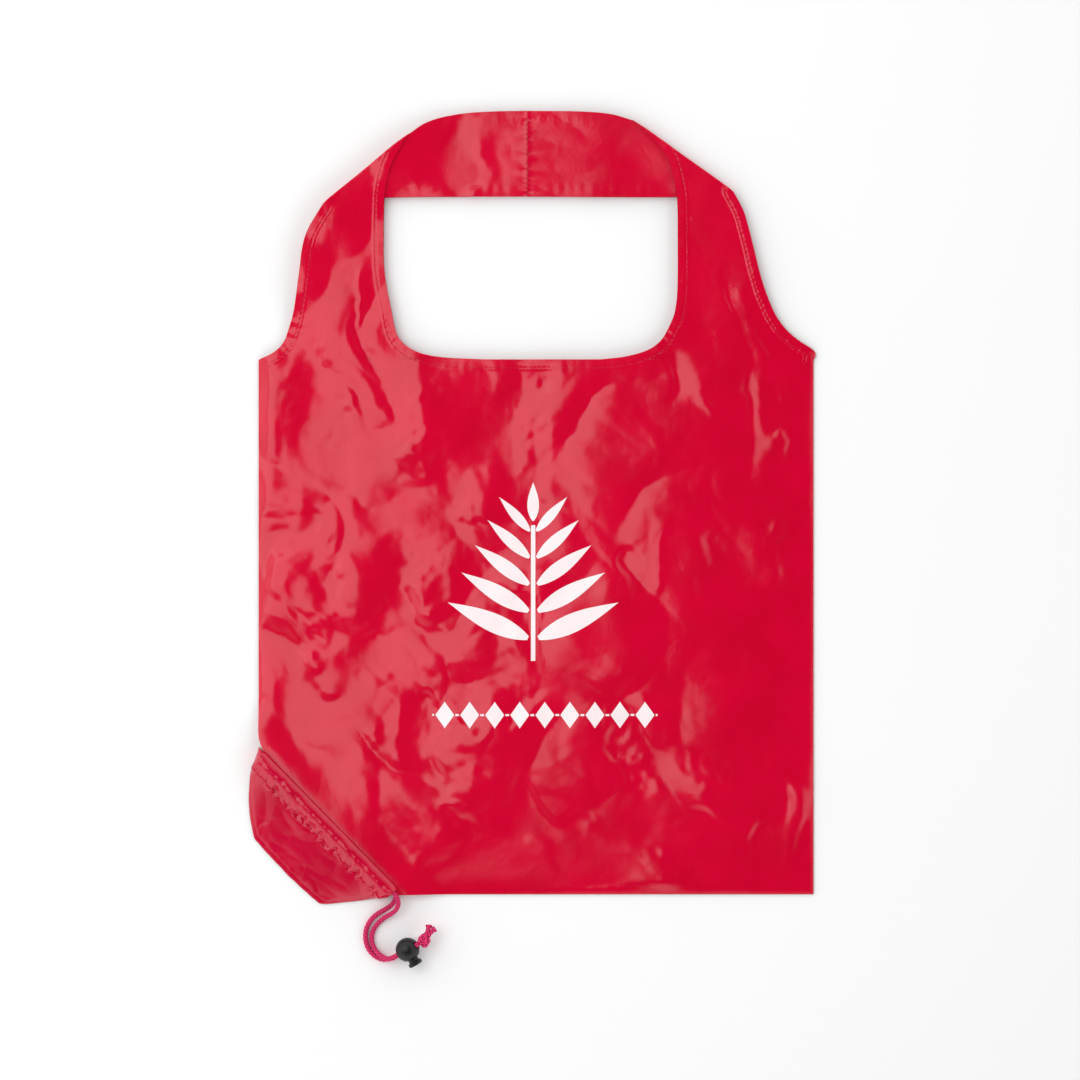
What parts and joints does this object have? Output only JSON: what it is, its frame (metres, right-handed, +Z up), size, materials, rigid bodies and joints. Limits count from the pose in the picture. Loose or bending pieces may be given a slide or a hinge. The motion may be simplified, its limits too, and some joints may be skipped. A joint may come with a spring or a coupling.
{
  "type": "foldable tote bag",
  "caption": "Flat-lying foldable shopping tote with two arched handles, a drawcord stow pouch sewn over one bottom corner, and a sprung ball cord lock.",
  "frame": {"origin": "bottom centre of the bag's box as it lies flat on its back panel, without the drawcord and its lock", "axes": "+Y along the bag from its bottom seam to the top of its handles, +X to the right as seen from the printed front, +Z up through the cloth, out of the front"},
  "size_m": [0.3868, 0.5854, 0.0164],
  "materials": {
    "red_polyester": "thin glossy woven polyester",
    "channel_polyester": "the same cloth, folded double and gathered round the cord",
    "white_ink": "thin matt screen print",
    "pink_cord": "braided polyester cord",
    "black_plastic": "satin moulded plastic",
    "spring_steel": "bright wire"
  },
  "bodies": {
    "upper": {"front_panel_upper": "red_polyester", "back_panel_upper": "red_polyester", "left_seam_upper": "red_polyester", "right_seam_upper": "red_polyester", "printed_sprig": "white_ink"},
    "lower": {"front_panel_lower": "red_polyester", "back_panel_lower": "red_polyester", "left_seam_lower": "red_polyester", "right_seam_lower": "red_polyester", "bottom_seam": "red_polyester", "printed_row": "white_ink", "pouch_front": "red_polyester", "pouch_back": "red_polyester", "pouch_seam": "red_polyester", "front_channel": "channel_polyester", "back_channel": "channel_polyester", "drawcord_in_channel": "pink_cord", "drawcord_front_strand": "pink_cord", "drawcord_back_strand": "pink_cord", "drawcord_knot": "pink_cord", "drawcord_ends": "pink_cord"},
    "front_handle": {"front_strap_left": "red_polyester", "front_strap_right": "red_polyester", "front_handle_seam": "red_polyester"},
    "back_handle": {"back_strap_left": "red_polyester", "back_strap_right": "red_polyester", "back_handle_seam": "red_polyester"},
    "cord_lock": {"lock_ball": "black_plastic", "lock_spring": "spring_steel"},
    "plunger": {"lock_plunger": "black_plastic"}
  },
  "joints": [
    {"name": "body_fold", "type": "hinge", "parent": "upper", "child": "lower", "pos_m": [0.0034, -0.1185, 0.0077], "axis": [-1, 0, 0], "range_deg": [0, 168]},
    {"name": "front_handle_fold", "type": "hinge", "parent": "upper", "child": "front_handle", "pos_m": [0.0034, 0.1115, 0.0077], "axis": [1, 0, 0], "range_deg": [0, 100]},
    {"name": "back_handle_fold", "type": "hinge", "parent": "upper", "child": "back_handle", "pos_m": [0.0034, 0.1115, 0.0005], "axis": [1, 0, 0], "range_deg": [0, 86]},
    {"name": "cord_lock_slide", "type": "slide", "parent": "lower", "child": "cord_lock", "axis": [-0.8471, -0.4891, -0.2079], "range_m": [0, 0.004]},
    {"name": "plunger_press", "type": "slide", "parent": "cord_lock", "child": "plunger", "axis": [-0.5, 0.866, 0], "range_m": [0, 0.002], "stiffness_N_per_m": 300, "deforming": ["lock_spring"]}
  ],
  "couplings": [
    {"joint": "back_handle_fold", "follows": "front_handle_fold", "ratio": 0.85}
  ]
}
